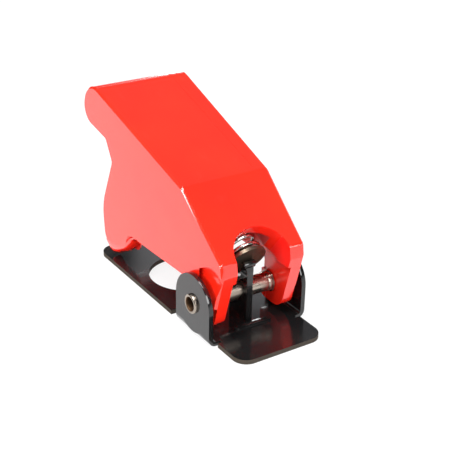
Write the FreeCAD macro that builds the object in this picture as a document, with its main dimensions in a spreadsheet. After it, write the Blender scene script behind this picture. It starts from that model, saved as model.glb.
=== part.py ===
import FreeCAD, Part
import Sketcher
import math
import os

from FreeCAD import Placement, Rotation, Vector

# A flip-up guard for a toggle switch, in millimetres.
# The origin is the centre of the switch hole on the plate's underside. The
# hinge lies across X in front of the hole, at -Y, and the finger nose points
# to +Y. Sizes that end in back, forward, rise or drop are measured from the
# hinge axis, so the cover, post and spring follow the hinge when it moves.

SIZES = [
    # folded bracket
    ("sheet_thickness", 0.7),
    ("bend_inside_radius", 0.6),
    ("switch_hole_radius", 6.0),
    ("plate_rear_reach", 14.6),
    ("plate_front_reach", 26.3),
    ("plate_rear_half_width", 8.15),
    ("plate_front_half_width", 7.2),
    ("plate_corner_radius", 2.2),
    ("relief_width", 0.5),
    ("rear_relief_width", 1.8),
    ("relief_depth", 0.7),
    ("hinge_reach", 15.3),
    ("hinge_height", 5.1),
    ("ear_outer_half_span", 8.4),
    ("ear_half_width", 4.5),
    ("bead_forward", 3.15),
    ("bead_length", 6.3),
    ("bead_width", 1.0),
    ("bead_rise", 0.3),
    # hinge tube and collars
    ("tube_radius", 1.45),
    ("tube_bore_radius", 1.1),
    ("rolled_end_radius", 1.65),
    ("rolled_end_length", 0.55),
    ("rolled_end_bevel", 0.2),
    ("running_clearance", 0.05),
    ("collar_radius", 2.1),
    ("collar_rim", 0.3),
    ("collar_length", 0.9),
    ("collar_gap", 0.1),
    # spring post
    ("post_thickness", 1.0),
    ("post_front", 2.2),
    ("post_rear", 2.3),
    ("post_neck_rear", 0.5),
    ("post_waist_rise", 2.4),
    ("post_shoulder", 1.1),
    ("post_tip_half_width", 0.35),
    ("tenon_front", 1.2),
    ("tenon_rear", 0.8),
    ("pivot_forward", 1.68),
    ("pivot_rise", 4.75),
    ("post_head_radius", 0.55),
    ("post_head_length", 2.4),
    # spring and cap
    ("spring_tilt", 32.0),
    ("cap_radius", 3.1),
    ("cap_thickness", 0.5),
    ("cap_spigot_radius", 1.9),
    ("cap_spigot_length", 1.4),
    ("spring_length", 7.25),
    ("spring_mean_radius", 2.6),
    ("spring_wire_radius", 0.3),
    ("spring_pitch", 1.5),
    # moulded cover
    ("cover_gap", 0.45),
    ("cover_half_width", "=ear_outer_half_span - sheet_thickness - cover_gap"),
    ("cover_flare", 1.88),
    ("cover_side_wall", 2.25),
    ("cover_roof_wall", 2.0),
    ("cover_rear_wall", 2.0),
    ("cover_edge_bevel", 0.3),
    ("slope_end_forward", 5.3),
    ("slope_end_rise", 7.9),
    ("slope_end_round", 0.8),
    ("roof_bend_back", 4.65),
    ("roof_bend_rise", 15.85),
    ("roof_bend_round", 2.0),
    ("nose_back", 29.45),
    ("nose_rise", 20.0),
    ("nose_radius", 3.5),
    ("nose_root_back", 26.4),
    ("nose_root_rise", 16.0),
    ("nose_root_round", 0.5),
    ("waist_back", 24.7),
    ("waist_rise", 12.9),
    ("waist_round", 0.8),
    ("belly_back", 28.15),
    ("belly_rise", 4.6),
    ("belly_round", 9.0),
    ("toe_rear_back", 27.5),
    ("toe_front_back", 21.3),
    ("toe_drop", 2.6),
    ("toe_front_drop", 1.9),
    ("toe_rear_round", 2.6),
    ("toe_front_round", 1.4),
    ("toe_edge_round", 1.1),
    ("arch_back", 19.8),
    ("arch_round", 1.5),
    ("skirt_rise", 2.1),
    ("leg_rear_back", 3.4),
    ("leg_front_forward", 3.0),
    ("leg_drop", 3.4),
    ("leg_round", 3.0),
    ("brow_forward", 5.6),
    ("brow_rise", 6.0),
    ("brow_round", 0.8),
    ("recess_depth", 0.5),
    ("recess_rear_back", 4.1),
    ("recess_rear_rise", 3.3),
    ("recess_top_forward", 3.1),
    ("recess_top_rise", 7.0),
    ("recess_front_forward", 5.6),
    ("recess_front_rise", 5.8),
    ("notch_radius", 4.5),
    ("brow_wall", 4.4),
    ("brow_length", 8.6),
    ("tunnel_half_width", 3.5),
    ("seat_wall", 1.6),
    ("seat_reach", 3.4),
    ("seat_spigot_radius", 1.9),
    ("seat_spigot_length", 1.2),
]

doc = FreeCAD.newDocument("SwitchCover")
sheet = doc.addObject("Spreadsheet::Sheet", "Sizes")
for row, (alias, size) in enumerate(SIZES, start=1):
    sheet.set("A%d" % row, alias.replace("_", " "))
    sheet.set("B%d" % row, str(size))
    sheet.setAlias("B%d" % row, alias)
doc.recompute()


def bound(expression):
    """The expression with the sheet's name before each of its sizes."""
    words = sorted((alias for alias, size in SIZES), key=len, reverse=True)
    text = expression
    for index, alias in enumerate(words):
        text = text.replace(alias, "<%d>" % index)
    for index, alias in enumerate(words):
        text = text.replace("<%d>" % index, "Sizes." + alias)
    return text


def number(expression):
    """What the expression of sizes comes to now."""
    return float(sheet.evalExpression(bound(expression)))


def bind(feature, path, expression):
    feature.setExpression(path, bound(expression))


# Bodies and sketches

def new_body(label, across="0", along="0", up="0", tilt=None):
    """A body that stands at a place given by sizes, and may lean back about X."""
    body = doc.addObject("PartDesign::Body", label)
    body.Label = label
    if tilt:
        body.Placement = Placement(Vector(), Rotation(Vector(-1, 0, 0), number(tilt)))
        bind(body, "Placement.Rotation.Angle", tilt)
    for axis, expression in zip("xyz", (across, along, up)):
        bind(body, "Placement.Base." + axis, expression)
    return body


def origin_part(body, role):
    return next(item for item in body.Origin.OriginFeatures if item.Role == role)


def new_sketch(body, name, plane, place=("0", "0", "0"), turn=None, turn_axis=Vector(0, 0, 1)):
    """A sketch on one of the body's own planes, moved by place and turned about turn_axis."""
    sketch = body.newObject("Sketcher::SketchObject", name)
    sketch.AttachmentSupport = (origin_part(body, plane), [""])
    sketch.MapMode = "FlatFace"
    if turn:
        sketch.AttachmentOffset = Placement(Vector(), Rotation(turn_axis, number(turn)))
        bind(sketch, "AttachmentOffset.Rotation.Angle", turn)
    for axis, expression in zip("xyz", place):
        if expression != "0":
            bind(sketch, "AttachmentOffset.Base." + axis, expression)
    return sketch


def hold_point(sketch, geometry, position, across, up):
    """Ties a point of the sketch to two sizes measured from the sketch's origin."""
    for kind, expression in (("DistanceX", across), ("DistanceY", up)):
        index = sketch.addConstraint(
            Sketcher.Constraint(kind, -1, 1, geometry, position, number(expression)))
        bind(sketch, "Constraints[%d]" % index, expression)


def add_circle(sketch, across, up, radius):
    centre = Vector(number(across), number(up), 0)
    circle = sketch.addGeometry(Part.Circle(centre, Vector(0, 0, 1), number(radius)), False)
    hold_point(sketch, circle, 3, across, up)
    index = sketch.addConstraint(Sketcher.Constraint("Radius", circle, number(radius)))
    bind(sketch, "Constraints[%d]" % index, radius)


def add_ring(sketch, corners):
    """A closed ring of straight sides. Each corner is (across, up) or (across, up, round)."""
    spots = [Vector(number(corner[0]), number(corner[1]), 0) for corner in corners]
    rounds = [number(corner[2]) if len(corner) > 2 else 0.0 for corner in corners]
    enters, leaves, centres = [], [], []
    for index, spot in enumerate(spots):
        back = (spots[index - 1] - spot).normalize()
        ahead = (spots[(index + 1) % len(spots)] - spot).normalize()
        half = back.getAngle(ahead) / 2
        reach = rounds[index] / math.tan(half)
        enters.append(spot + back * reach)
        leaves.append(spot + ahead * reach)
        middle = (back + ahead).normalize()
        centres.append(spot + middle * (rounds[index] / math.sin(half)))

    sides = []
    for index in range(len(spots)):
        side = Part.LineSegment(leaves[index], enters[(index + 1) % len(spots)])
        sides.append(sketch.addGeometry(side, False))
    for index, spot in enumerate(spots):
        before, after = sides[index - 1], sides[index]
        if not rounds[index]:
            sketch.addConstraint(Sketcher.Constraint("Coincident", before, 2, after, 1))
            hold_point(sketch, after, 1, corners[index][0], corners[index][1])
            continue
        centre, enter, leave = centres[index], enters[index], leaves[index]
        turns_left = (enter - centre).cross(leave - centre).z > 0
        first, last = (enter, leave) if turns_left else (leave, enter)
        angles = [math.atan2(end.y - centre.y, end.x - centre.x) for end in (first, last)]
        circle = Part.Circle(centre, Vector(0, 0, 1), rounds[index])
        arc = sketch.addGeometry(Part.ArcOfCircle(circle, angles[0], angles[1]), False)
        ends = (1, 2) if turns_left else (2, 1)
        corner = sketch.addGeometry(Part.Point(spot), True)
        sketch.addConstraint([
            Sketcher.Constraint("Tangent", before, 2, arc, ends[0]),
            Sketcher.Constraint("Tangent", arc, ends[1], after, 1),
            Sketcher.Constraint("PointOnObject", corner, 1, before),
            Sketcher.Constraint("PointOnObject", corner, 1, after),
        ])
        radius = sketch.addConstraint(Sketcher.Constraint("Radius", arc, rounds[index]))
        bind(sketch, "Constraints[%d]" % radius, corners[index][2])
        hold_point(sketch, corner, 1, corners[index][0], corners[index][1])


def add_feature(body, kind, name, sketch, length=None, both_ways=False):
    feature = body.newObject("PartDesign::" + kind, name)
    feature.Profile = sketch
    if both_ways:
        feature.SideType = "Symmetric"
    if length:
        bind(feature, "Length", length)
    return feature


def revolve(body, name, sketch, axis):
    feature = body.newObject("PartDesign::Revolution", name)
    feature.Profile = sketch
    feature.ReferenceAxis = (origin_part(body, axis), [""])
    feature.Angle = 360
    return feature


def bevel_edges(body, name, size, wanted):
    """Bevels the edges of the body's last feature that wanted picks."""
    doc.recompute()
    base = body.Tip
    picked = ["Edge%d" % (index + 1) for index, edge in enumerate(base.Shape.Edges) if wanted(edge)]
    bevel = body.newObject("PartDesign::Chamfer", name)
    bevel.Base = (base, picked)
    bind(bevel, "Size", size)
    return bevel


# Bracket: one sheet, folded up into two ears

def make_bracket():
    body = new_body("bracket")
    ear_rear = "(ear_half_width - hinge_reach)"
    ear_front = "(-ear_half_width - hinge_reach)"
    flat_half = "(ear_outer_half_span - sheet_thickness - bend_inside_radius - relief_depth)"

    blank = new_sketch(body, "blank", "XY_Plane")
    right = [
        ("plate_rear_half_width", "plate_rear_reach", "plate_corner_radius"),
        ("plate_rear_half_width", ear_rear + " + rear_relief_width"),
        (flat_half, ear_rear + " + rear_relief_width"),
        (flat_half, ear_front + " - relief_width"),
        ("plate_front_half_width", ear_front + " - relief_width"),
        ("plate_front_half_width", "-plate_front_reach", "plate_corner_radius"),
    ]
    left = [("-" + corner[0],) + corner[1:] for corner in reversed(right)]
    add_ring(blank, right + left)
    add_feature(body, "Pad", "plate", blank, "sheet_thickness")

    fold = new_sketch(body, "fold", "XZ_Plane", place=("0", "0", "hinge_reach"))
    outer = "ear_outer_half_span"
    inner = "(ear_outer_half_span - sheet_thickness)"
    add_ring(fold, [
        ("-" + outer, "hinge_height"),
        ("-" + outer, "0", "bend_inside_radius + sheet_thickness"),
        (outer, "0", "bend_inside_radius + sheet_thickness"),
        (outer, "hinge_height"),
        (inner, "hinge_height"),
        (inner, "sheet_thickness", "bend_inside_radius"),
        ("-" + inner, "sheet_thickness", "bend_inside_radius"),
        ("-" + inner, "hinge_height"),
    ])
    add_feature(body, "Pad", "ear_walls", fold, "2 * ear_half_width", both_ways=True)

    for side, start in (("right", inner), ("left", "-" + outer)):
        top = new_sketch(body, side + "_ear_top", "YZ_Plane", place=("0", "0", start))
        add_circle(top, "-hinge_reach", "hinge_height", "ear_half_width")
        add_feature(body, "Pad", side + "_ear_round", top, "sheet_thickness")

    pin_holes = new_sketch(body, "pin_holes", "YZ_Plane")
    add_circle(pin_holes, "-hinge_reach", "hinge_height", "tube_radius")
    add_feature(body, "Pocket", "ear_holes", pin_holes, "3 * ear_outer_half_span", both_ways=True)

    bushing = new_sketch(body, "bushing", "XY_Plane")
    add_circle(bushing, "0", "0", "switch_hole_radius")
    add_feature(body, "Pocket", "switch_hole", bushing, "4 * sheet_thickness", both_ways=True)

    slot = new_sketch(body, "slot", "XY_Plane")
    add_ring(slot, [
        ("-post_thickness / 2", "-hinge_reach - tenon_front"),
        ("post_thickness / 2", "-hinge_reach - tenon_front"),
        ("post_thickness / 2", "-hinge_reach + tenon_rear"),
        ("-post_thickness / 2", "-hinge_reach + tenon_rear"),
    ])
    add_feature(body, "Pocket", "tenon_slot", slot, "4 * sheet_thickness", both_ways=True)

    for name, kind, height, narrower in (
            ("bead", "Pad", "sheet_thickness", "0"),
            ("bead_hollow", "Pocket", "0", "sheet_thickness / 2")):
        outline = new_sketch(body, name + "_outline", "XY_Plane", place=("0", "0", height))
        half_long = "(bead_length - %s) / 2" % narrower
        half_wide = "(bead_width - %s) / 2" % narrower
        middle = "-hinge_reach - bead_forward"
        add_ring(outline, [
            ("-" + half_long, middle + " - " + half_wide, half_wide + " * 0.9"),
            (half_long, middle + " - " + half_wide, half_wide + " * 0.9"),
            (half_long, middle + " + " + half_wide, half_wide + " * 0.9"),
            ("-" + half_long, middle + " + " + half_wide, half_wide + " * 0.9"),
        ])
        feature = add_feature(body, kind, name, outline, "bead_rise")
        feature.Reversed = kind == "Pocket"
    return body


# Hinge tube and the two collars on it, turned about the hinge axis

def make_hinge_tube():
    body = new_body("hinge_tube", along="-hinge_reach", up="hinge_height")
    section = new_sketch(body, "section", "XY_Plane")
    seat = "ear_outer_half_span"
    end = "ear_outer_half_span + rolled_end_length"
    half = [
        (seat, "tube_radius"),
        (seat, "rolled_end_radius"),
        (end + " - rolled_end_bevel", "rolled_end_radius"),
        (end, "rolled_end_radius - rolled_end_bevel"),
        (end, "tube_bore_radius"),
    ]
    other = [("-(" + corner[0] + ")",) + corner[1:] for corner in reversed(half)]
    add_ring(section, half + other)
    revolve(body, "turned", section, "X_Axis")
    return body


def make_collar(label, side):
    body = new_body(label, along="-hinge_reach", up="hinge_height")
    section = new_sketch(body, "section", "XY_Plane")
    face = side + "(cover_half_width - cover_side_wall - collar_gap)"
    rim = side + "(cover_half_width - cover_side_wall - collar_gap - collar_rim)"
    nose = side + "(cover_half_width - cover_side_wall - collar_gap - collar_length)"
    add_ring(section, [
        (nose, "tube_radius"),
        (face, "tube_radius"),
        (face, "collar_radius"),
        (rim, "collar_radius"),
        (nose, "tube_radius + collar_rim / 2"),
    ])
    revolve(body, "turned", section, "X_Axis")
    return body


# Spring post: a stamped blade with a tenon through the plate and a cross head

def make_spring_post():
    body = new_body("spring_post", along="-hinge_reach", up="hinge_height")
    blade = new_sketch(body, "blade", "YZ_Plane")
    floor = "sheet_thickness - hinge_height"
    add_ring(blade, [
        ("-post_front", floor),
        ("-tenon_front", floor),
        ("-tenon_front", "-hinge_height"),
        ("tenon_rear", "-hinge_height"),
        ("tenon_rear", floor),
        ("post_rear", floor),
        ("post_rear", "post_waist_rise - post_shoulder", "post_shoulder"),
        ("-post_neck_rear", "post_waist_rise", "post_shoulder / 2"),
        ("-post_neck_rear", "pivot_rise - post_shoulder", "post_tip_half_width"),
        ("post_tip_half_width - pivot_forward", "pivot_rise - post_head_radius / 2"),
        ("-post_tip_half_width - pivot_forward", "pivot_rise - post_head_radius / 2"),
        ("-post_front", "pivot_rise - post_shoulder", "post_tip_half_width"),
    ])
    add_feature(body, "Pad", "stamping", blade, "post_thickness", both_ways=True)
    head = new_sketch(body, "head", "YZ_Plane")
    add_circle(head, "-pivot_forward", "pivot_rise", "post_head_radius")
    add_feature(body, "Pad", "cross_head", head, "post_head_length", both_ways=True)
    hole = new_sketch(body, "hole", "YZ_Plane")
    add_circle(hole, "0", "0", "tube_radius")
    add_feature(body, "Pocket", "tube_hole", hole, "3 * post_thickness", both_ways=True)
    return body


# Spring cap and spring, built upright about the pivot and then leaned back

WIRE_FACETS = 8
SPRING_LEAN = "90 - spring_tilt"
PIVOT_ALONG = "-hinge_reach - pivot_forward"
PIVOT_UP = "hinge_height + pivot_rise"
CAP_FACE = "post_head_radius + running_clearance"
CAP_BACK = "(post_head_radius + running_clearance + cap_thickness)"


def make_spring_cap():
    body = new_body("spring_cap", along=PIVOT_ALONG, up=PIVOT_UP, tilt=SPRING_LEAN)
    section = new_sketch(body, "section", "XZ_Plane")
    face = CAP_FACE
    back = CAP_BACK
    add_ring(section, [
        ("0", face),
        ("cap_radius", face),
        ("cap_radius", back),
        ("cap_spigot_radius", back),
        ("cap_spigot_radius", back + " + cap_spigot_length - cap_thickness"),
        ("cap_spigot_radius - cap_thickness", back + " + cap_spigot_length"),
        ("0", back + " + cap_spigot_length"),
    ])
    revolve(body, "turned", section, "Z_Axis")
    return body


def make_spring():
    body = new_body("spring", along=PIVOT_ALONG, up=PIVOT_UP, tilt=SPRING_LEAN)
    wire = new_sketch(body, "wire", "XZ_Plane")
    start = CAP_BACK + " + spring_wire_radius"
    facet = 360 / WIRE_FACETS
    add_ring(wire, [
        ("spring_mean_radius + spring_wire_radius * cos(%g)" % (facet * step),
         "%s + spring_wire_radius * sin(%g)" % (start, facet * step))
        for step in range(WIRE_FACETS)])
    coil = body.newObject("PartDesign::AdditiveHelix", "coil")
    coil.Profile = wire
    coil.ReferenceAxis = (origin_part(body, "Z_Axis"), [""])
    coil.Mode = "pitch-height-angle"
    bind(coil, "Pitch", "spring_pitch")
    bind(coil, "Height", "spring_length - 2 * spring_wire_radius")
    return body


# Cover: one moulding, built about the hinge axis

RUN = "(nose_back - roof_bend_back)"
CLIMB = "(nose_rise - roof_bend_rise)"
ROOF_ANGLE = "(atan(%s / %s) + asin(nose_radius / sqrt(%s * %s + %s * %s)))" % (
    CLIMB, RUN, RUN, RUN, CLIMB, CLIMB)
SLOPE_ANGLE = "atan((roof_bend_rise - slope_end_rise) / (roof_bend_back + slope_end_forward))"
NOSE_TOP = (
    "nose_back + nose_radius * (cos(%s) - sin(%s))" % (ROOF_ANGLE, ROOF_ANGLE),
    "nose_rise + nose_radius * (sin(%s) + cos(%s))" % (ROOF_ANGLE, ROOF_ANGLE))
NOSE_TIP = (
    "nose_back + nose_radius * (cos(%s) + sin(%s))" % (ROOF_ANGLE, ROOF_ANGLE),
    "nose_rise + nose_radius * (sin(%s) - cos(%s))" % (ROOF_ANGLE, ROOF_ANGLE))


def half_width_at(back):
    """Half the cover's width at a distance behind the hinge, for it flares towards the nose."""
    return "(cover_half_width + %s * tan(cover_flare))" % back


def under_slope(along, deep):
    """A point that lies along the slope from its low end, and deep under its face."""
    return ("(-slope_end_forward + (%s) * cos(%s) + (%s) * sin(%s))" % (
                along, SLOPE_ANGLE, deep, SLOPE_ANGLE),
            "(slope_end_rise + (%s) * sin(%s) - (%s) * cos(%s))" % (
                along, SLOPE_ANGLE, deep, SLOPE_ANGLE))


def make_flip_cover():
    body = new_body("flip_cover", along="-hinge_reach", up="hinge_height")

    side = new_sketch(body, "side", "YZ_Plane")
    add_ring(side, [
        ("-slope_end_forward", "slope_end_rise", "slope_end_round"),
        ("roof_bend_back", "roof_bend_rise", "roof_bend_round"),
        (NOSE_TOP[0], NOSE_TOP[1], "0.97 * nose_radius"),
        (NOSE_TIP[0], NOSE_TIP[1], "0.84 * nose_radius"),
        ("nose_root_back", "nose_root_rise", "nose_root_round"),
        ("waist_back", "waist_rise", "waist_round"),
        ("belly_back", "belly_rise", "belly_round"),
        ("toe_rear_back", "-toe_drop", "toe_rear_round"),
        ("toe_front_back", "-toe_front_drop", "toe_front_round"),
        ("arch_back", "skirt_rise", "arch_round"),
        ("leg_rear_back", "skirt_rise", "skirt_rise / 4"),
        ("leg_rear_back", "-leg_drop", "leg_round"),
        ("-leg_front_forward", "-leg_drop", "leg_round * 0.8"),
        ("-brow_forward", "brow_rise", "brow_round"),
    ])
    nose_half = half_width_at("(nose_back + nose_radius)")
    add_feature(body, "Pad", "block", side, "2 * %s" % nose_half, both_ways=True)

    far_front = "(-2 * brow_forward)"
    far_rear = "(nose_back + 2 * nose_radius)"
    for name, side_sign in (("right", ""), ("left", "-")):
        cheek = new_sketch(body, name + "_cheek", "XY_Plane")
        beyond = "(%s + nose_radius)" % nose_half
        add_ring(cheek, [
            (side_sign + half_width_at(far_front), far_front),
            (side_sign + half_width_at(far_rear), far_rear),
            (side_sign + beyond, far_rear),
            (side_sign + beyond, far_front),
        ])
        add_feature(body, "Pocket", name + "_cheek_trim", cheek, "4 * nose_rise", both_ways=True)

    half_width, flare = number("cover_half_width"), math.tan(math.radians(number("cover_flare")))

    def on_cheek(edge):
        spots = [vertex.Point for vertex in edge.Vertexes]
        spots.append(edge.valueAt((edge.FirstParameter + edge.LastParameter) / 2))
        return all(abs(abs(spot.x) - half_width - spot.y * flare) < 1e-4 for spot in spots)

    bevel_edges(body, "cheek_edges", "cover_edge_bevel", on_cheek)

    for name, side_sign in (("right", ""), ("left", "-")):
        toe = new_sketch(body, name + "_toe", "XZ_Plane", place=("0", "0", "-toe_rear_back"))
        toe_half = half_width_at("toe_rear_back")
        add_ring(toe, [
            (side_sign + "(%s - 1.5 * toe_edge_round)" % toe_half, "-toe_drop"),
            (side_sign + toe_half, "-toe_drop", "toe_edge_round"),
            (side_sign + toe_half, "1.5 * toe_edge_round - toe_drop"),
            (side_sign + beyond, "1.5 * toe_edge_round - toe_drop"),
            (side_sign + beyond, "-2 * toe_drop"),
            (side_sign + "(%s - 1.5 * toe_edge_round)" % toe_half, "-2 * toe_drop"),
        ])
        add_feature(body, "Pocket", name + "_toe_round", toe, "toe_rear_back", both_ways=True)

    # The hollow. The brow over the legs is thick, and a narrow tunnel in it clears the spring.
    hollow = new_sketch(body, "hollow", "YZ_Plane")
    far_below = "(-leg_drop - cover_roof_wall)"
    inner_bend = "(roof_bend_back + 0.24 * cover_roof_wall)"
    inner_rear = "(waist_back - cover_rear_wall)"
    roof_rise = "(roof_bend_rise - cover_roof_wall)"
    far_tail = "(toe_rear_back + 4 * cover_rear_wall)"
    add_ring(hollow, [
        (far_front, far_below),
        (far_front, under_slope("0", "brow_wall")[1]),
        under_slope("0", "brow_wall"),
        under_slope("brow_length", "brow_wall"),
        under_slope("brow_length", "cover_roof_wall"),
        (inner_bend, roof_rise + " - 0.1 * cover_roof_wall", "roof_bend_round"),
        (inner_rear, roof_rise + " + (%s - %s) * tan(%s)" % (inner_rear, inner_bend, ROOF_ANGLE), "1.5"),
        (inner_rear, "waist_rise - cover_rear_wall", "waist_round"),
        ("belly_back - cover_rear_wall", "belly_rise", "belly_round / 2"),
        ("belly_back - 1.2 * cover_rear_wall", "skirt_rise"),
        (far_tail, "skirt_rise"),
        (far_tail, far_below),
    ])
    inside = "2 * (cover_half_width - cover_side_wall)"
    add_feature(body, "Pocket", "cavity", hollow, inside, both_ways=True)

    tunnel = new_sketch(body, "tunnel", "YZ_Plane")
    add_ring(tunnel, [
        under_slope("-cover_roof_wall", "cover_roof_wall"),
        under_slope("brow_length + cover_roof_wall / 4", "cover_roof_wall"),
        under_slope("brow_length + cover_roof_wall / 4", "1.1 * brow_wall"),
        under_slope("-cover_roof_wall", "1.1 * brow_wall"),
    ])
    add_feature(body, "Pocket", "spring_tunnel", tunnel, "2 * tunnel_half_width", both_ways=True)

    notch = new_sketch(
        body, "notch", "XY_Plane", place=("0", "-slope_end_forward", "slope_end_rise"),
        turn=SLOPE_ANGLE, turn_axis=Vector(1, 0, 0))
    add_ring(notch, [
        ("-notch_radius", "-notch_radius"),
        ("notch_radius", "-notch_radius"),
        ("notch_radius", "notch_radius", "0.98 * notch_radius"),
        ("-notch_radius", "notch_radius", "0.98 * notch_radius"),
    ])
    add_feature(body, "Pocket", "spring_notch", notch, "4 * brow_wall", both_ways=True)

    for name, start in (("right", "cover_half_width - recess_depth"), ("left", "-cover_half_width")):
        recess = new_sketch(body, name + "_recess", "YZ_Plane", place=("0", "0", start))
        add_ring(recess, [
            ("recess_rear_back", "-2 * leg_drop"),
            ("recess_rear_back", "recess_rear_rise", "0.8 * recess_rear_rise"),
            ("-recess_top_forward", "recess_top_rise", "recess_top_forward * 0.8"),
            ("-recess_front_forward", "recess_front_rise", "recess_top_forward * 0.4"),
            ("-leg_front_forward - recess_depth", "recess_depth"),
            ("-2 * brow_forward", "recess_depth"),
            ("-2 * brow_forward", "-2 * leg_drop"),
        ])
        cut = add_feature(body, "Pocket", name + "_ear_recess", recess, "recess_depth")
        cut.Reversed = True

    lean = SPRING_LEAN
    seat_start = "(%s + spring_length)" % CAP_BACK
    roof_over_pivot = "((roof_bend_rise - pivot_rise) * cos(spring_tilt)" \
                      " - (roof_bend_back + pivot_forward) * sin(spring_tilt))"
    seat = new_sketch(body, "seat", "YZ_Plane", place=("-pivot_forward", "pivot_rise", "0"),
                      turn="spring_tilt", turn_axis=Vector(0, 0, 1))
    add_ring(seat, [
        (seat_start, "-seat_reach", "seat_wall / 4"),
        (seat_start + " + seat_wall", "-seat_reach", "seat_wall / 4"),
        (seat_start + " + seat_wall", roof_over_pivot + " - 0.55 * cover_roof_wall"),
        (seat_start, roof_over_pivot + " - 0.55 * cover_roof_wall"),
    ])
    add_feature(body, "Pad", "seat_rib", seat, "2 * cover_half_width - cover_side_wall", both_ways=True)
    spigot = new_sketch(body, "spigot", "XY_Plane", place=(
        "0",
        "-pivot_forward + (%s - seat_spigot_length) * cos(spring_tilt)" % seat_start,
        "pivot_rise + (%s - seat_spigot_length) * sin(spring_tilt)" % seat_start),
        turn=lean, turn_axis=Vector(-1, 0, 0))
    add_circle(spigot, "0", "0", "seat_spigot_radius")
    add_feature(body, "Pad", "seat_spigot", spigot, "seat_spigot_length + seat_wall / 2")

    hole = new_sketch(body, "hinge_hole", "YZ_Plane")
    add_circle(hole, "0", "0", "tube_radius + running_clearance")
    add_feature(body, "Pocket", "hinge_bore", hole, "3 * cover_half_width", both_ways=True)
    return body


pieces = [
    make_bracket(),
    make_spring_post(),
    make_hinge_tube(),
    make_collar("collar_left", "-"),
    make_collar("collar_right", ""),
    make_flip_cover(),
    make_spring_cap(),
    make_spring(),
]
doc.recompute()

for item in doc.Objects:
    if "Invalid" in item.State or "Error" in item.State:
        raise RuntimeError("%s did not build: %s" % (item.Label, item.State))
for piece in pieces:
    if piece.Shape.isNull() or not piece.Shape.isValid():
        raise RuntimeError("%s has no sound shape" % piece.Label)
    if len(piece.Shape.Solids) != 1:
        raise RuntimeError("%s is %d solids" % (piece.Label, len(piece.Shape.Solids)))

os.makedirs("parts", exist_ok=True)
for piece in pieces:
    piece.Shape.exportStep("parts/%s.step" % piece.Label)
    box = piece.Shape.BoundBox
    print("%-14s volume %9.2f  x %6.2f to %6.2f  y %7.2f to %6.2f  z %6.2f to %6.2f" % (
        piece.Label, piece.Shape.Volume, box.XMin, box.XMax, box.YMin, box.YMax, box.ZMin, box.ZMax))
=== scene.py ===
import math
import bmesh
import bpy
from mathutils import Matrix, Vector
from mathutils.bvhtree import BVHTree


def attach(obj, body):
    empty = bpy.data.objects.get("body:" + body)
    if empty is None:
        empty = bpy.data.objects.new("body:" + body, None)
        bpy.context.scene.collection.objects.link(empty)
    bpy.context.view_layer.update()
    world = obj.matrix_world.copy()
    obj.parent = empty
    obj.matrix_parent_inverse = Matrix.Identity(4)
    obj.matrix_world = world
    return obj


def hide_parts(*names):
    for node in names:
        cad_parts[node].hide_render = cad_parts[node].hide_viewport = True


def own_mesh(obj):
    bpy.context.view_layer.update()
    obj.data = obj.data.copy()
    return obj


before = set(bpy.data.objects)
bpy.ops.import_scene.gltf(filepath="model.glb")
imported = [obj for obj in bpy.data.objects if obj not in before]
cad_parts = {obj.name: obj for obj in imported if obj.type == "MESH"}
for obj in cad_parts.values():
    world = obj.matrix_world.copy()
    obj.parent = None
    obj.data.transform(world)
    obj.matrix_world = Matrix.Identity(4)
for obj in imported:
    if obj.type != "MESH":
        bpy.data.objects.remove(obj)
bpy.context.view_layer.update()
scene = bpy.context.scene
print("frame loaded:", ", ".join(sorted(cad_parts)))

mm = 0.001
hinge = (-15.3, 5.1)
pivot = (-16.98, 9.85)
# limits for the geometry helpers: points closer than this merge, faces flatter than this join,
# edges sharper than this stay hard, and faces larger than this are shaded flat
mergeDistance = 0.002 * mm
planeAngle = math.radians(1.0)
sharpAngle = math.radians(38)
largeFace = 12 * mm * mm


# shader helpers

def newMaterial(name):
    material = bpy.data.materials.new(name)
    material.use_nodes = True
    tree = material.node_tree
    tree.nodes.clear()
    return material, tree


def addNode(tree, kind, x=0, y=0, **values):
    node = tree.nodes.new(kind)
    node.location = (x, y)
    for key, value in values.items():
        setattr(node, key, value)
    return node


def setInputs(node, **values):
    for key, value in values.items():
        node.inputs[key.replace("_", " ")].default_value = value
    return node


def newGroup(name, inputs, outputs):
    group = bpy.data.node_groups.new(name, "ShaderNodeTree")
    for label, kind, start in inputs:
        socket = group.interface.new_socket(label, in_out="INPUT", socket_type=kind)
        if start is not None:
            socket.default_value = start
    for label, kind in outputs:
        group.interface.new_socket(label, in_out="OUTPUT", socket_type=kind)
    entry = addNode(group, "NodeGroupInput", -900)
    leave = addNode(group, "NodeGroupOutput", 600)
    return group, entry, leave


def placeGroup(tree, group, x=0, y=0, **values):
    return setInputs(addNode(tree, "ShaderNodeGroup", x, y, node_tree=group), **values)


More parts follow.
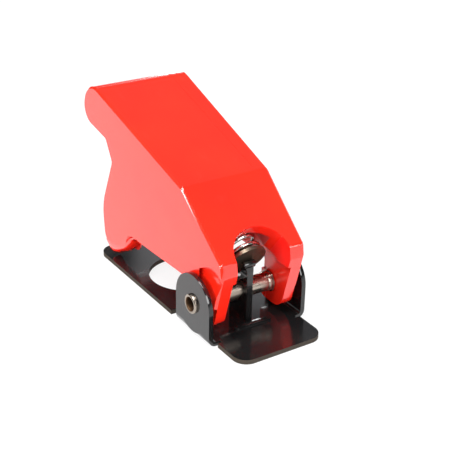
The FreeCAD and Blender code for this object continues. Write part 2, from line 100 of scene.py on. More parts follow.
# shared effect: fine unevenness of a surface, as a height and a mask
def makeSurfaceGroup():
    group, entry, leave = newGroup(
        "SurfaceUnevenness",
        [("Vector", "NodeSocketVector", None), ("Wave Size", "NodeSocketFloat", 300.0),
         ("Grain Size", "NodeSocketFloat", 4000.0), ("Grain Share", "NodeSocketFloat", 0.2)],
        [("Height", "NodeSocketFloat"), ("Mask", "NodeSocketFloat")])
    wave = addNode(group, "ShaderNodeTexNoise", -600, 200)
    setInputs(wave, Detail=2.0, Roughness=0.4)
    grain = addNode(group, "ShaderNodeTexNoise", -600, -150)
    setInputs(grain, Detail=3.0, Roughness=0.6)
    mix = addNode(group, "ShaderNodeMix", -200, 100)
    links = group.links
    for noise, size in ((wave, "Wave Size"), (grain, "Grain Size")):
        links.new(entry.outputs["Vector"], noise.inputs["Vector"])
        links.new(entry.outputs[size], noise.inputs["Scale"])
    links.new(entry.outputs["Grain Share"], mix.inputs[0])
    links.new(wave.outputs["Fac"], mix.inputs[2])
    links.new(grain.outputs["Fac"], mix.inputs[3])
    spread = addNode(group, "ShaderNodeMapRange", 0, -150)
    setInputs(spread, From_Min=0.35, From_Max=0.65)
    links.new(wave.outputs["Fac"], spread.inputs["Value"])
    links.new(mix.outputs[0], leave.inputs["Height"])
    links.new(spread.outputs["Result"], leave.inputs["Mask"])
    return group


# shared effect: short fine scratches, as a mask
def makeScratchGroup():
    group, entry, leave = newGroup(
        "FineScratches",
        [("Vector", "NodeSocketVector", None), ("Scale", "NodeSocketFloat", 900.0),
         ("Stretch", "NodeSocketVector", (1.0, 0.06, 1.0)), ("Amount", "NodeSocketFloat", 0.3)],
        [("Mask", "NodeSocketFloat")])
    stretch = addNode(group, "ShaderNodeVectorMath", -700, 0, operation="MULTIPLY")
    noise = addNode(group, "ShaderNodeTexNoise", -500, 0)
    setInputs(noise, Detail=4.0, Roughness=0.65)
    thin = addNode(group, "ShaderNodeMapRange", -250, 0)
    setInputs(thin, From_Min=0.6, From_Max=0.72)
    scaled = addNode(group, "ShaderNodeMath", 0, 0, operation="MULTIPLY")
    links = group.links
    links.new(entry.outputs["Vector"], stretch.inputs[0])
    links.new(entry.outputs["Stretch"], stretch.inputs[1])
    links.new(stretch.outputs[0], noise.inputs["Vector"])
    links.new(entry.outputs["Scale"], noise.inputs["Scale"])
    links.new(noise.outputs["Fac"], thin.inputs["Value"])
    links.new(thin.outputs["Result"], scaled.inputs[0])
    links.new(entry.outputs["Amount"], scaled.inputs[1])
    links.new(scaled.outputs[0], leave.inputs["Mask"])
    return group


surfaceGroup = makeSurfaceGroup()
scratchGroup = makeScratchGroup()


def coatedMaterial(name, look):
    material, tree = newMaterial(name)
    links = tree.links
    output = addNode(tree, "ShaderNodeOutputMaterial", 900)
    shader = addNode(tree, "ShaderNodeBsdfPrincipled", 600)
    links.new(shader.outputs[0], output.inputs["Surface"])
    setInputs(shader, Metallic=look.get("metallic", 0.0), IOR=look.get("ior", 1.5),
              Coat_Weight=look.get("coat", 0.0), Coat_Roughness=look.get("coatRoughness", 0.03))
    place = addNode(tree, "ShaderNodeTexCoord", -900)
    uneven = placeGroup(tree, surfaceGroup, -600, 200, Wave_Size=look["waveSize"],
                        Grain_Size=look["grainSize"], Grain_Share=look["grainShare"])
    scratch = placeGroup(tree, scratchGroup, -600, -200, Scale=look["scratchScale"],
                         Stretch=look["scratchStretch"], Amount=look["scratchAmount"])
    links.new(place.outputs["Object"], uneven.inputs["Vector"])
    links.new(place.outputs["Object"], scratch.inputs["Vector"])
    tint = addNode(tree, "ShaderNodeMix", -200, 300, data_type="RGBA")
    tint.inputs[6].default_value = (*look["color"], 1)
    tint.inputs[7].default_value = (*look["secondColor"], 1)
    links.new(uneven.outputs["Mask"], tint.inputs[0])
    worn = addNode(tree, "ShaderNodeMix", 100, 300, data_type="RGBA")
    worn.inputs[7].default_value = (*look["scratchColor"], 1)
    links.new(tint.outputs[2], worn.inputs[6])
    links.new(scratch.outputs["Mask"], worn.inputs[0])
    colour = worn.outputs[2]
    rough = addNode(tree, "ShaderNodeMapRange", -200, 0)
    setInputs(rough, To_Min=look["roughness"][0], To_Max=look["roughness"][1])
    links.new(uneven.outputs["Mask"], rough.inputs["Value"])
    roughScratch = addNode(tree, "ShaderNodeMath", 100, 0, operation="ADD")
    links.new(rough.outputs["Result"], roughScratch.inputs[0])
    links.new(scratch.outputs["Mask"], roughScratch.inputs[1])
    roughness = roughScratch.outputs[0]
    # the zone mark swaps in its own colour, roughness and coat: painted shade on the cover's inside and in
    # the tube's bore, thin paint on the plate's cut edges
    if "zone" in look:
        zone = look["zone"]
        mark = addNode(tree, "ShaderNodeAttribute", -200, 600, attribute_name="zone")
        other = addNode(tree, "ShaderNodeMix", 350, 500, data_type="RGBA")
        other.inputs[7].default_value = (*zone["color"], 1)
        links.new(mark.outputs["Fac"], other.inputs[0])
        links.new(colour, other.inputs[6])
        duller = addNode(tree, "ShaderNodeMix", 350, 150)
        duller.inputs[3].default_value = zone["roughness"]
        links.new(mark.outputs["Fac"], duller.inputs[0])
        links.new(roughness, duller.inputs[2])
        thinner = addNode(tree, "ShaderNodeMix", 350, -50)
        thinner.inputs[2].default_value = look.get("coat", 0.0)
        thinner.inputs[3].default_value = zone["coat"]
        links.new(mark.outputs["Fac"], thinner.inputs[0])
        links.new(thinner.outputs[0], shader.inputs["Coat Weight"])
        colour, roughness = other.outputs[2], duller.outputs[0]
    links.new(colour, shader.inputs["Base Color"])
    links.new(roughness, shader.inputs["Roughness"])
    bump = addNode(tree, "ShaderNodeBump", 200, -300)
    setInputs(bump, Strength=look["bump"], Distance=0.05 * mm)
    links.new(uneven.outputs["Height"], bump.inputs["Height"])
    links.new(bump.outputs[0], shader.inputs["Normal"])
    material.diffuse_color = (*look["color"], 1)
    return material


# geometry helpers

def cleanUp(mesh):
    bmesh.ops.remove_doubles(mesh, verts=mesh.verts, dist=mergeDistance)
    bmesh.ops.dissolve_limit(mesh, angle_limit=planeAngle, verts=mesh.verts, edges=mesh.edges)
    return mesh


def bakedMesh(holder):
    graph = bpy.context.evaluated_depsgraph_get()
    return bpy.data.meshes.new_from_object(holder.evaluated_get(graph))


def joinRings(mesh, ring, after):
    for index in range(len(ring)):
        beside = (index + 1) % len(ring)
        mesh.faces.new((ring[index], ring[beside], after[beside], after[index]))


def mergedCopy(node):
    mesh = bmesh.new()
    mesh.from_mesh(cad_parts[node].data)
    mesh.transform(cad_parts[node].matrix_world)
    return cleanUp(mesh)


def softenEdges(mesh, passes):
    for lowest, highest, radius, segments in passes:
        edges = [edge for edge in mesh.edges if len(edge.link_faces) == 2
                 and math.radians(lowest) < edge.calc_face_angle(0) <= math.radians(highest)]
        bmesh.ops.bevel(mesh, geom=edges, offset=radius * mm, offset_type="OFFSET",
                        segments=segments, profile=0.5, affect="EDGES",
                        clamp_overlap=True, loop_slide=True)


def cutAcross(mesh, heights):
    for height in heights:
        bmesh.ops.bisect_plane(mesh, geom=mesh.verts[:] + mesh.edges[:] + mesh.faces[:],
                               plane_co=(0, 0, height * mm), plane_no=(0, 0, 1), dist=0.0005 * mm)


def makeBox(mesh, low, high):
    corners = [mesh.verts.new([(low, high)[pick][axis] * mm for axis, pick in enumerate(choice)])
               for choice in ((0, 0, 0), (1, 0, 0), (1, 1, 0), (0, 1, 0),
                              (0, 0, 1), (1, 0, 1), (1, 1, 1), (0, 1, 1))]
    for sides in ((0, 3, 2, 1), (4, 5, 6, 7), (0, 1, 5, 4),
                  (1, 2, 6, 5), (2, 3, 7, 6), (3, 0, 4, 7)):
        mesh.faces.new([corners[side] for side in sides])


def makePrism(mesh, outline, across):
    # the outline, points of (along Y, up Z), drawn out between two places on X
    rings = [[mesh.verts.new((place * mm, along * mm, up * mm)) for along, up in outline]
             for place in across]
    joinRings(mesh, *rings)
    for ring in rings:
        mesh.faces.new(ring)


def smoothPath(points, steps):
    # a Catmull-Rom curve through the points
    path = []
    last = len(points) - 1
    for index in range(last):
        near = [points[min(max(index + offset, 0), last)] for offset in (-1, 0, 1, 2)]
        for step in range(steps):
            share = step / steps
            path.append([0.5 * (2 * b + (c - a) * share + (2 * a - 5 * b + 4 * c - d) * share ** 2
                                + (3 * b - a - 3 * c + d) * share ** 3)
                         for a, b, c, d in zip(*near)])
    path.append(list(points[-1]))
    return path


def cutAway(mesh, boxes, prisms):
    holders = []
    cutter = bmesh.new()
    for low, high in boxes:
        makeBox(cutter, low, high)
    for outline, across in prisms:
        makePrism(cutter, outline, across)
    for part, label in ((mesh, "toCut"), (cutter, "cutter")):
        data = bpy.data.meshes.new(label)
        bmesh.ops.recalc_face_normals(part, faces=part.faces)
        part.to_mesh(data)
        part.free()
        holder = bpy.data.objects.new(label, data)
        scene.collection.objects.link(holder)
        holders.append(holder)
    cut = holders[0].modifiers.new("Cut", "BOOLEAN")
    cut.operation, cut.solver, cut.object = "DIFFERENCE", "EXACT", holders[1]
    cut.use_self = True
    left = bmesh.new()
    graph = bpy.context.evaluated_depsgraph_get()
    left.from_object(holders[0], graph)
    for holder in holders:
        bpy.data.objects.remove(holder)
    return cleanUp(left)


def facesItself(mesh):
    # true for a face that looks at another part of the same piece; the cover's material paints such faces
    # darker, as painted shade
    tree = BVHTree.FromBMesh(mesh)

    def test(face):
        start = face.calc_center_median() + face.normal * 0.02 * mm
        return tree.ray_cast(start, face.normal)[0] is not None
    return test


def finishPiece(mesh, name, material, body, nodes=(), zone=None):
    data = bpy.data.meshes.new(name)
    bmesh.ops.recalc_face_normals(mesh, faces=mesh.faces)
    mark = mesh.faces.layers.float.new("zone")
    test = zone(mesh) if zone else None
    for face in mesh.faces:
        face[mark] = 1.0 if test and test(face) else 0.0
    mesh.to_mesh(data)
    mesh.free()
    for face in data.polygons:
        face.use_smooth = True
    data.set_sharp_from_angle(angle=sharpAngle)
    data.materials.append(material)
    piece = bpy.data.objects.new(name, data)
    scene.collection.objects.link(piece)
    weighted = piece.modifiers.new("Weighted", "WEIGHTED_NORMAL")
    weighted.keep_sharp = True
    plain = bakedMesh(piece)
    normals = [corner.vector.copy() for corner in plain.corner_normals]
    for face in plain.polygons:
        if face.area > largeFace:
            for corner in face.loop_indices:
                normals[corner] = face.normal.copy()
    plain.normals_split_custom_set(normals)
    piece.modifiers.clear()
    piece.data = plain
    plain.name = name
    if nodes:
        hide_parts(*nodes)
    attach(piece, body)


def makeLathe(profile, sides):
    # points of (along X, radius), turned about the hinge axis
    mesh = bmesh.new()
    rings = []
    for along, radius in profile:
        ring = []
        for step in range(sides):
            turn = 2 * math.pi * step / sides
            ring.append(mesh.verts.new((along * mm, (hinge[0] + radius * math.cos(turn)) * mm,
                                        (hinge[1] + radius * math.sin(turn)) * mm)))
        rings.append(ring)
    for ring, after in zip(rings, rings[1:] + rings[:1]):
        joinRings(mesh, ring, after)
    return mesh


# finishes

redPlastic = dict(
    color=(0.90, 0.018, 0.006), secondColor=(0.87, 0.014, 0.005), scratchColor=(0.95, 0.06, 0.04),
    roughness=(0.17, 0.22), ior=1.5, coat=0.8, coatRoughness=0.09, bump=0.06,
    waveSize=110.0, grainSize=5200.0, grainShare=0.08, scratchScale=700.0,
    scratchStretch=(1.0, 0.12, 1.0), scratchAmount=0.05,
    # zone: faces that look into the cover, painted darker red as shade inside the moulding, and given a
    # rough face with almost no coat
    zone=dict(color=(0.82, 0.006, 0.002), roughness=0.45, coat=0.05))
blackSteel = dict(
    color=(0.006, 0.006, 0.0065), secondColor=(0.008, 0.0075, 0.0075), scratchColor=(0.04, 0.03, 0.025),
    roughness=(0.12, 0.20), ior=1.5, coat=0.38, coatRoughness=0.05, bump=0.10,
    waveSize=160.0, grainSize=3000.0, grainShare=0.2, scratchScale=800.0,
    scratchStretch=(0.2, 1.0, 1.0), scratchAmount=0.12,
    zone=dict(color=(0.035, 0.025, 0.016), roughness=0.8, coat=0.0))
nickelSteel = dict(
    color=(0.46, 0.40, 0.34), secondColor=(0.36, 0.30, 0.25), scratchColor=(0.24, 0.17, 0.12),
    metallic=1.0, roughness=(0.22, 0.34), bump=0.15, waveSize=500.0, grainSize=6000.0,
    grainShare=0.4, scratchScale=1600.0, scratchStretch=(0.15, 1.0, 1.0), scratchAmount=0.3,
    # zone: the tube's bore, painted darker brown as shade inside the hollow, and rougher
    zone=dict(color=(0.16, 0.09, 0.05), roughness=0.6, coat=0.0))
springSteel = dict(
    color=(0.72, 0.70, 0.68), secondColor=(0.62, 0.60, 0.57), scratchColor=(0.4, 0.36, 0.3),
    metallic=1.0, roughness=(0.10, 0.18), bump=0.08, waveSize=700.0, grainSize=7000.0,
    grainShare=0.3, scratchScale=2000.0, scratchStretch=(1.0, 1.0, 0.2), scratchAmount=0.2)
capSteel = dict(
    color=(0.20, 0.165, 0.12), secondColor=(0.15, 0.12, 0.09), scratchColor=(0.35, 0.30, 0.24),
    metallic=1.0, roughness=(0.38, 0.5), bump=0.2, waveSize=600.0, grainSize=5000.0,
    grainShare=0.5, scratchScale=1500.0, scratchStretch=(1.0, 0.3, 1.0), scratchAmount=0.25)

finishes = {
    "bracket": ("BlackSteel", blackSteel),
    "spring_post": ("BlackSteel", blackSteel),
    "hinge_tube": ("NickelSteel", nickelSteel),
    "collar_left": ("NickelSteel", nickelSteel),
    "collar_right": ("NickelSteel", nickelSteel),
    "flip_cover": ("RedPlastic", redPlastic),
    "spring_cap": ("CapSteel", capSteel),
    "spring": ("SpringSteel", springSteel),
}
made = {}
for node, (name, look) in finishes.items():
    if name not in made:
        made[name] = coatedMaterial(name, look)
    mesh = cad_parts[node].data
    mesh.materials.clear()
    mesh.materials.append(made[name])
print("finishes set:", len(made))


# cover: the moulding with its edges rounded and its walls thinned, the feet under the cheeks,
# and the faint parting line on the roof; a pass is (least angle, most angle, radius, segments)
coverLook = dict(
    cheek=7.25, flare=math.tan(math.radians(1.88)),
    passes=[(60, 180, 0.22, 3), (24, 60, 0.12, 2)], wallInside=4.9, wallOutside=6.5,
    pockets=[((-14.4, 6.3), (7.0, 12.5)), ((-13.3, 0.0), (4.5, 7.0))],
    toeOuter=[(11.7, 3.9), (10.2, 3.66), (8.3, 4.02), (6.9, 4.62), (5.6, 5.5), (4.6, 6.4), (3.9, 7.05),
              (3.1, 7.42), (1.7, 7.6)],
    toeUnder=[(12.1, 2.2), (11.5, 1.1), (10.2, 1.4), (8.7, 2.2), (7.1, 3.1), (5.9, 4.1), (4.8, 5.2),
              (3.7, 6.5), (1.8, 7.45)],
    toeInside=5.85, toeKeel=6.25, toeSteps=4, toeArc=6,
    cutAcross=(5.2, 9.0), cutRear=14.0, cutUnder=-1.0,
    lineAcross=5.3, lineStart=-9.8, lineEnd=16.6, lineHalf=0.09, lineHigh=0.035,
    lineSunk=0.05, lineSteps=60, lineFrom=60)


def makeCover(look):
    mesh = mergedCopy("flip_cover")
    boxes = []
    for low, high in look["pockets"]:
        for side in (1, -1):
            across = sorted((side * look["wallInside"], side * look["wallOutside"]))
            boxes.append(((across[0], *low), (across[1], *high)))
    outer = smoothPath(look["toeOuter"], look["toeSteps"])
    below = outer + [(outer[-1][0], look["cutUnder"]), (look["cutRear"], look["cutUnder"]),
                     (look["cutRear"], outer[0][1])]
    prisms = [(below, [side * place for place in look["cutAcross"]]) for side in (1, -1)]
    mesh = cutAway(mesh, boxes, prisms)
    softenEdges(mesh, look["passes"])
    return mesh


def makeToes(look):
    # the rounded foot under each cheek, drawn along its outer and lower edges
    mesh = bmesh.new()
    outer = smoothPath(look["toeOuter"], look["toeSteps"])
    under = smoothPath(look["toeUnder"], look["toeSteps"])
    for side in (1, -1):
        rings = []
        for (along, up), (lowAlong, lowUp) in zip(outer, under):
            edge = look["cheek"] + (along - hinge[0]) * look["flare"]
            section = [(look["toeInside"], along, up), (edge, along, up)]
            for step in range(1, look["toeArc"] + 1):
                turn = math.pi / 2 * step / look["toeArc"]
                share = math.sin(turn)
                section.append((look["toeKeel"] + (edge - look["toeKeel"]) * math.cos(turn),
                                along + (lowAlong - along) * share, up + (lowUp - up) * share))
            section.append((look["toeInside"], lowAlong, lowUp))
            rings.append([mesh.verts.new((side * x * mm, y * mm, z * mm)) for x, y, z in section])
        for ring, after in zip(rings, rings[1:]):
            joinRings(mesh, ring, after)
        mesh.faces.new(rings[0])
        mesh.faces.new(rings[-1])
    return mesh


def makePartingLine(look, cover):
    # a low ridge laid on the roof, where a ray from above meets it
    tree = BVHTree.FromBMesh(cover)
    mesh = bmesh.new()
    rows = []
    half, high, sunk = look["lineHalf"], look["lineHigh"], look["lineSunk"]
    section = [(-half, -sunk), (-half / 2, high), (half / 2, high), (half, -sunk)]
    for step in range(look["lineSteps"] + 1):
        along = look["lineStart"] + (look["lineEnd"] - look["lineStart"]) * step / look["lineSteps"]
        above = Vector((look["lineAcross"], along, look["lineFrom"])) * mm
        top = tree.ray_cast(above, Vector((0, 0, -1)))[0]
        rows.append([mesh.verts.new(top + Vector((across, 0, up)) * mm) for across, up in section])
    for row, after in zip(rows, rows[1:]):
        joinRings(mesh, row, after)
    mesh.faces.new(rows[0])
    mesh.faces.new(rows[-1])
    return mesh


coverMesh = makeCover(coverLook)
lineMesh = makePartingLine(coverLook, coverMesh)
# the cover's faces that look into the moulding carry the zone mark, which paints them darker red as shade
finishPiece(coverMesh, "cover_moulding", made["RedPlastic"], "cover", ["flip_cover"],
            zone=facesItself)
finishPiece(lineMesh, "parting_line", made["RedPlastic"], "cover")
finishPiece(makeToes(coverLook), "cover_toes", made["RedPlastic"], "cover")
print("cover moulding made")

# bracket: the sheet with its sheared edges broken, and the pressed bead as a smooth dome
bracketLook = dict(passes=[(30, 180, 0.07, 2)], sheet=0.7, earInside=7.6,
                   bead=dict(along=-18.45, half=(3.4, 0.75), high=0.42, rings=8, sides=48))


def addBead(mesh, look, floor):
    centre = mesh.verts.new((0, look["along"] * mm, (floor + look["high"]) * mm))
    before = None
    for step in range(1, look["rings"] + 1):
        share = step / look["rings"]
        up = floor - 0.05 + (look["high"] + 0.05) * (0.5 + 0.5 * math.cos(math.pi * share ** 1.6))
        ring = []
        for side in range(look["sides"]):
            turn = 2 * math.pi * side / look["sides"]
            spread = [math.copysign(abs(part) ** 0.7, part)
                      for part in (math.cos(turn), math.sin(turn))]
            ring.append(mesh.verts.new((look["half"][0] * spread[0] * share * mm,
                                        (look["along"] + look["half"][1] * spread[1] * share) * mm,
                                        up * mm)))
        if before:
            joinRings(mesh, before, ring)
        else:
            for side in range(look["sides"]):
                mesh.faces.new((centre, ring[side], ring[(side + 1) % look["sides"]]))
        before = ring


def shearedEdge(mesh):
    # true for a face of the plate's cut edge, where the paint is thin
    def test(face):
        middle = face.calc_center_median() / mm
        level = abs(face.normal.z) < 0.3
        plate = abs(middle.x) < bracketLook["earInside"] or middle.y > -8 or abs(face.normal.y) > 0.3
        return level and middle.z < bracketLook["sheet"] and plate
    return test


bracketMesh = mergedCopy("bracket")
softenEdges(bracketMesh, bracketLook["passes"])
addBead(bracketMesh, bracketLook["bead"], bracketLook["sheet"])
finishPiece(bracketMesh, "bracket_sheet", made["BlackSteel"], "bracket", ["bracket"],
            zone=shearedEdge)
print("bracket sheet made")

# post: the stamped blade with its tip splayed under the cap
postLook = dict(passes=[(30, 180, 0.06, 2)], flareFrom=8.2, flareTop=10.2, flareStep=0.4,
                flareCuts=5, flare=0.3, blade=0.5, head=0.62, slack=0.1)


def makePost(look):
    mesh = mergedCopy("spring_post")
    cutAcross(mesh, [look["flareFrom"] + look["flareStep"] * step for step in range(look["flareCuts"])])
    tall = look["flareTop"] - look["flareFrom"]
    for vert in mesh.verts:
        share = min(max((vert.co.z / mm - look["flareFrom"]) / tall, 0), 1)
        across = abs(vert.co.x) / mm
        wanted = across + look["flare"] * share ** 1.5 if across > look["slack"] else across
        if across > look["blade"] + look["slack"]:
            wanted = look["head"] + look["flare"] * share
        vert.co.x = math.copysign(wanted * mm, vert.co.x)
    softenEdges(mesh, look["passes"])
    return mesh


finishPiece(makePost(postLook), "post_blade", made["BlackSteel"], "bracket",
            ["spring_post"])
print("post made")

# collars: a thin flange against the cover's leg and a short hub, one on each side
collarLook = dict(face=4.88, rim=4.66, nose=4.02, flange=1.68, hub=1.55, tip=1.48, bore=1.45,
                  round=0.04, nosePart=0.2, sides=48)


def makeCollar(look, side):
    soft = look["round"]
    profile = [(look["face"], look["bore"]), (look["face"], look["flange"] - soft),
               (look["face"] - soft, look["flange"]), (look["rim"] + soft, look["flange"]),
               (look["rim"], look["flange"] - soft), (look["rim"], look["hub"]),
               (look["nose"] + look["nosePart"], look["hub"]), (look["nose"], look["tip"]),
               (look["nose"], look["bore"])]
    return makeLathe([(side * along, radius) for along, radius in profile], look["sides"])


for node, side in (("collar_right", 1), ("collar_left", -1)):
    finishPiece(makeCollar(collarLook, side), node.replace("collar", "turned_collar"),
                made["NickelSteel"], "bracket", [node])
print("collars made")

# hinge tube: a hollow rivet whose ends are rolled over outside the ears
tubeLook = dict(bore=1.0, outside=1.42, seat=8.42, lip=0.24, lipMiddle=1.26, end=8.85,
                sides=64, lipSteps=7, shadedBoreRadius=1.12)


def tubeBore(mesh):
    # true for a face inside the bore, which is rougher than the outside and painted darker brown as shade
    # in the hollow
    def test(face):
        middle = face.calc_center_median() / mm
        return math.hypot(middle.y - hinge[0], middle.z - hinge[1]) < tubeLook["shadedBoreRadius"]
    return test


def makeTube(look):
    profile = []
    for side in (1, -1):
        middle = look["end"] - look["lip"]
        arc = []
        for step in range(look["lipSteps"] + 1):
            share = step / look["lipSteps"]
            turn = math.pi * (1.0 - share if side > 0 else share)
            arc.append((side * (middle + look["lip"] * math.sin(turn)),
                        look["lipMiddle"] + look["lip"] * math.cos(turn)))
        if side > 0:
            profile += [(-look["seat"], look["bore"]), (look["seat"], look["bore"])] + arc
            profile += [(look["seat"], look["lipMiddle"] + look["lip"]), (look["seat"], look["outside"])]
        else:
            profile += [(-look["seat"], look["outside"]),
                        (-look["seat"], look["lipMiddle"] + look["lip"])] + arc
    return makeLathe(profile, look["sides"])


finishPiece(makeTube(tubeLook), "rolled_tube", made["NickelSteel"], "bracket",
            ["hinge_tube"], zone=tubeBore)
print("rolled tube made")

# spring: round wire with one closed turn at each end, from the cap to the seat in the cover
springLook = dict(radius=2.6, wire=0.3, start=1.1, length=7.25, turns=5.6, closedPitch=0.63, lean=58.0,
                  stepsPerTurn=40, wireSides=12, shortest=0.70)


def makeSpring(look, material):
    group = bpy.data.node_groups.new("CoilSpring", "GeometryNodeTree")
    group.interface.new_socket("Geometry", in_out="OUTPUT", socket_type="NodeSocketGeometry")
    height = look["length"] - 2 * look["wire"]
    inner = look["turns"] - 2
    sizes = [("Radius", look["radius"] * mm), ("Wire Radius", look["wire"] * mm),
             ("Turns", look["turns"]), ("Closed Pitch", look["closedPitch"] * mm),
             ("Open Pitch", (height - 2 * look["closedPitch"]) / inner * mm)]
    for label, start in sizes:
        group.interface.new_socket(label, in_out="INPUT", socket_type="NodeSocketFloat")
    links = group.links
    entry = addNode(group, "NodeGroupInput", -1400)
    leave = addNode(group, "NodeGroupOutput", 1000)

    def calculate(operation, first, second=None):
        node = addNode(group, "ShaderNodeMath", 0, 0, operation=operation)
        for socket, value in zip(node.inputs, (first, second)):
            if value is None:
                continue
            if isinstance(value, (int, float)):
                socket.default_value = value
            else:
                links.new(value, socket)
        return node.outputs[0]

    line = addNode(group, "GeometryNodeCurvePrimitiveLine", -900, 300)
    fine = addNode(group, "GeometryNodeResampleCurve", -700, 300)
    fine.inputs["Count"].default_value = int(look["turns"] * look["stepsPerTurn"])
    links.new(line.outputs[0], fine.inputs["Curve"])
    spot = addNode(group, "GeometryNodeSplineParameter", -1400, -300)
    turned = calculate("MULTIPLY", spot.outputs["Factor"], entry.outputs["Turns"])
    angle = calculate("MULTIPLY", turned, 2 * math.pi)
    firstTurn = calculate("MINIMUM", turned, 1.0)
    beforeLast = calculate("SUBTRACT", entry.outputs["Turns"], 1.0)
    lastTurn = calculate("MAXIMUM", calculate("SUBTRACT", turned, beforeLast), 0.0)
    openTurns = calculate("SUBTRACT", calculate("SUBTRACT", turned, firstTurn), lastTurn)
    closedTurns = calculate("ADD", firstTurn, lastTurn)
    closed = calculate("MULTIPLY", closedTurns, entry.outputs["Closed Pitch"])
    rise = calculate("ADD", closed, calculate("MULTIPLY", openTurns, entry.outputs["Open Pitch"]))
    place = addNode(group, "ShaderNodeCombineXYZ", -300, -300)
    for index, wave in enumerate(("COSINE", "SINE")):
        reach = calculate("MULTIPLY", calculate(wave, angle), entry.outputs["Radius"])
        links.new(reach, place.inputs[index])
    links.new(rise, place.inputs[2])
    bend = addNode(group, "GeometryNodeSetPosition", -100, 300)
    links.new(fine.outputs[0], bend.inputs["Geometry"])
    links.new(place.outputs[0], bend.inputs["Position"])
    section = addNode(group, "GeometryNodeCurvePrimitiveCircle", -100, 0)
    section.inputs["Resolution"].default_value = look["wireSides"]
    links.new(entry.outputs["Wire Radius"], section.inputs["Radius"])
    skin = addNode(group, "GeometryNodeCurveToMesh", 200, 300)
    skin.inputs["Fill Caps"].default_value = True
    links.new(bend.outputs[0], skin.inputs["Curve"])
    links.new(section.outputs[0], skin.inputs["Profile Curve"])
    real = addNode(group, "GeometryNodeRealizeInstances", 400, 300)
    paint = addNode(group, "GeometryNodeSetMaterial", 600, 300)
    paint.inputs["Material"].default_value = material
    links.new(skin.outputs[0], real.inputs[0])
    links.new(real.outputs[0], paint.inputs["Geometry"])
    links.new(paint.outputs[0], leave.inputs[0])
    holder = bpy.data.objects.new("coil_spring", bpy.data.meshes.new("coil_spring"))
    scene.collection.objects.link(holder)
    modifier = holder.modifiers.new("Coil", "NODES")
    modifier.node_group = group
    inputs = {item.name: item.identifier for item in group.interface.items_tree
              if item.in_out == "INPUT"}
    for label, value in sizes:
        modifier[inputs[label]] = value
    coil = bakedMesh(holder)
    holder.modifiers.clear()
    lean = Matrix.Rotation(-math.radians(look["lean"]), 4, "X")
    start = Matrix.Translation((0, 0, (look["start"] + look["wire"]) * mm))
    coil.transform(Matrix.Translation((0, pivot[0] * mm, pivot[1] * mm)) @ lean @ start)
    for face in coil.polygons:
        face.use_smooth = True
    holder.data = coil
    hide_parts("spring")
    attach(holder, "spring_arm")
    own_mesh(holder)


makeSpring(springLook, made["SpringSteel"])
print("spring made")

# floor and backdrop

floorLook = dict(size=3.0, color=(0.9, 0.9, 0.9), bare=0.86)


def makeFloor(look):
    mesh = bpy.data.meshes.new("Floor")
    half = look["size"] / 2
    mesh.from_pydata([(-half, -half, 0), (half, -half, 0), (half, half, 0), (-half, half, 0)],
                     [], [(0, 1, 2, 3)])
    floor = bpy.data.objects.new("Floor", mesh)
    scene.collection.objects.link(floor)
    material, tree = newMaterial("WhiteTable")
    links = tree.links
    output = addNode(tree, "ShaderNodeOutputMaterial", 800)
    shader = addNode(tree, "ShaderNodeBsdfPrincipled", 0, 200)
    shader.inputs["Base Color"].default_value = (*look["color"], 1)
    shader.inputs["Roughness"].default_value = 0.5
    light = addNode(tree, "ShaderNodeLightPath", -200, 500)
    glow = addNode(tree, "ShaderNodeEmission", 0, -100)
    glow.inputs["Color"].default_value = (1, 1, 1, 1)
    glow.inputs["Strength"].default_value = 1.0
    seen = addNode(tree, "ShaderNodeMath", 100, 500, operation="MAXIMUM")
    links.new(light.outputs["Is Camera Ray"], seen.inputs[0])
    links.new(light.outputs["Is Glossy Ray"], seen.inputs[1])
    share = addNode(tree, "ShaderNodeMath", 250, 500, operation="MULTIPLY")
    share.inputs[1].default_value = look["bare"]
    links.new(seen.outputs[0], share.inputs[0])
    mix = addNode(tree, "ShaderNodeMixShader", 500, 200)
    links.new(share.outputs[0], mix.inputs[0])
    links.new(shader.outputs[0], mix.inputs[1])
    links.new(glow.outputs[0], mix.inputs[2])
    links.new(mix.outputs[0], output.inputs["Surface"])
    mesh.materials.append(material)


makeFloor(floorLook)

# the room: even light, and for mirror images a white sweep, a dark wall and a grey ceiling
# each band is (sine of its elevation, brightness)
roomLook = dict(
    light=0.55, bands=[(0.06, 0.95), (0.17, 0.035), (0.60, 0.03), (0.74, 0.20), (0.84, 0.08)],
    wallEdge=math.radians(28.2), wallBlur=0.006, wallTop=0.512, wallTopBlur=0.012,
    wallAhead=(0.3, 0.4), wallBright=0.85, wallBlue=1.04)


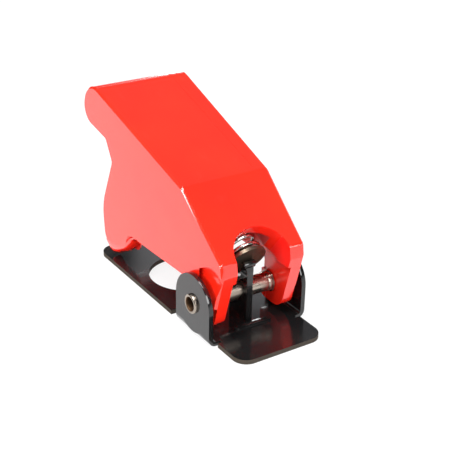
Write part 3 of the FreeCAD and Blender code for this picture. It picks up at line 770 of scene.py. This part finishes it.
def makeRoom(look):
    world = bpy.data.worlds.new("Studio")
    scene.world = world
    world.use_nodes = True
    tree = world.node_tree
    tree.nodes.clear()
    links = tree.links
    output = addNode(tree, "ShaderNodeOutputWorld", 900)
    backgrounds = []
    for height, strength in ((0, look["light"]), (200, 1.0), (-200, 1.0)):
        background = addNode(tree, "ShaderNodeBackground", 300, height)
        background.inputs["Color"].default_value = (1, 1, 1, 1)
        background.inputs["Strength"].default_value = strength
        backgrounds.append(background)
    light, seen, mirrored = backgrounds
    way = addNode(tree, "ShaderNodeTexCoord", -600, -200)
    split = addNode(tree, "ShaderNodeSeparateXYZ", -400, -200)
    ramp = addNode(tree, "ShaderNodeValToRGB", -100, -200)
    points = ramp.color_ramp.elements
    while len(points) < len(look["bands"]):
        points.new(0.5)
    for point, (height, brightness) in zip(points, look["bands"]):
        point.position = height
        point.color = (brightness, brightness, brightness, 1)
    links.new(way.outputs["Generated"], split.inputs[0])
    links.new(split.outputs["Z"], ramp.inputs[0])
    edge = addNode(tree, "ShaderNodeVectorMath", -400, -500, operation="DOT_PRODUCT")
    edge.inputs[1].default_value = (math.cos(look["wallEdge"]), -math.sin(look["wallEdge"]), 0)
    links.new(way.outputs["Generated"], edge.inputs[0])
    beside = addNode(tree, "ShaderNodeMapRange", -200, -500)
    setInputs(beside, From_Min=-look["wallBlur"], From_Max=look["wallBlur"])
    links.new(edge.outputs["Value"], beside.inputs["Value"])
    under = addNode(tree, "ShaderNodeMapRange", -200, -750)
    setInputs(under, From_Min=look["wallTop"], From_Max=look["wallTop"] - look["wallTopBlur"])
    links.new(split.outputs["Z"], under.inputs["Value"])
    ahead = addNode(tree, "ShaderNodeMapRange", -200, -1000)
    setInputs(ahead, From_Min=look["wallAhead"][0], From_Max=look["wallAhead"][1])
    links.new(split.outputs["Y"], ahead.inputs["Value"])
    both = addNode(tree, "ShaderNodeMath", 0, -600, operation="MULTIPLY")
    links.new(beside.outputs[0], both.inputs[0])
    links.new(under.outputs[0], both.inputs[1])
    wall = addNode(tree, "ShaderNodeMath", 100, -700, operation="MULTIPLY")
    links.new(both.outputs[0], wall.inputs[0])
    links.new(ahead.outputs[0], wall.inputs[1])
    image = addNode(tree, "ShaderNodeMix", 150, -300, data_type="RGBA")
    bright = look["wallBright"]
    image.inputs[7].default_value = (bright, bright, bright * look["wallBlue"], 1)
    links.new(wall.outputs[0], image.inputs[0])
    links.new(ramp.outputs["Color"], image.inputs[6])
    links.new(image.outputs[2], mirrored.inputs["Color"])
    ray = addNode(tree, "ShaderNodeLightPath", 0, 400)
    glossy = addNode(tree, "ShaderNodeMixShader", 500, -50)
    links.new(ray.outputs["Is Glossy Ray"], glossy.inputs[0])
    links.new(light.outputs[0], glossy.inputs[1])
    links.new(mirrored.outputs[0], glossy.inputs[2])
    camera = addNode(tree, "ShaderNodeMixShader", 700, 100)
    links.new(ray.outputs["Is Camera Ray"], camera.inputs[0])
    links.new(glossy.outputs[0], camera.inputs[1])
    links.new(seen.outputs[0], camera.inputs[2])
    links.new(camera.outputs[0], output.inputs["Surface"])


makeRoom(roomLook)


# studio lamps: place and size in metres, power in watts, and whether mirrors show them

lamps = {
    "TopSoftbox": dict(place=(-0.20, -0.05, 0.60), aim=(0, 0, 0), size=0.30, power=5.0, mirrored=True),
    "FrontSoftbox": dict(place=(0.10, -0.60, 0.35), aim=(0, 0, 0.01), size=0.35, power=3.0, mirrored=True),
    "BackStrip": dict(place=(0.33, 0.50, 0.11), aim=(0, 0, 0.01), size=0.10, power=0.5, mirrored=True),
    "LeftSoftbox": dict(place=(-0.55, 0.10, 0.30), aim=(0, 0, 0.01), size=0.35, power=3.0, mirrored=False),
}
for name, lamp in lamps.items():
    data = bpy.data.lights.new(name, "AREA")
    data.shape = "SQUARE"
    data.size = lamp["size"]
    data.energy = lamp["power"]
    lampObject = bpy.data.objects.new(name, data)
    lampObject.location = lamp["place"]
    lampObject.visible_glossy = lamp["mirrored"]
    aim = Vector(lamp["aim"]) - Vector(lamp["place"])
    lampObject.rotation_mode = "QUATERNION"
    lampObject.rotation_quaternion = aim.to_track_quat("-Z", "Y")
    scene.collection.objects.link(lampObject)
print("studio lit with", len(lamps), "lamps")


# camera, from a fit of the photograph's edges to the solids

cameraView = dict(azimuth=-33.693, elevation=25.889, roll=1.202, distance=169.493,
                  target=(8.750, 2.428, 5.815), lens=83.267, sensor=36.0)


def makeCamera(shot):
    azimuth, elevation = math.radians(shot["azimuth"]), math.radians(shot["elevation"])
    back = Vector((math.sin(azimuth) * math.cos(elevation),
                   -math.cos(azimuth) * math.cos(elevation), math.sin(elevation)))
    right = (-back).cross(Vector((0, 0, 1))).normalized()
    up = right.cross(-back)
    roll = math.radians(shot["roll"])
    right, up = (right * math.cos(roll) + up * math.sin(roll),
                 up * math.cos(roll) - right * math.sin(roll))
    data = bpy.data.cameras.new("Camera")
    data.lens = shot["lens"]
    data.sensor_width = shot["sensor"]
    data.clip_start, data.clip_end = 0.005, 20
    camera = bpy.data.objects.new("Camera", data)
    turn = Matrix((right, up, back)).transposed().to_4x4()
    place = (Vector(shot["target"]) + back * shot["distance"]) * mm
    camera.matrix_world = Matrix.Translation(place) @ turn
    scene.collection.objects.link(camera)
    scene.camera = camera


makeCamera(cameraView)
scene.view_settings.view_transform = "Standard"
print("camera set")
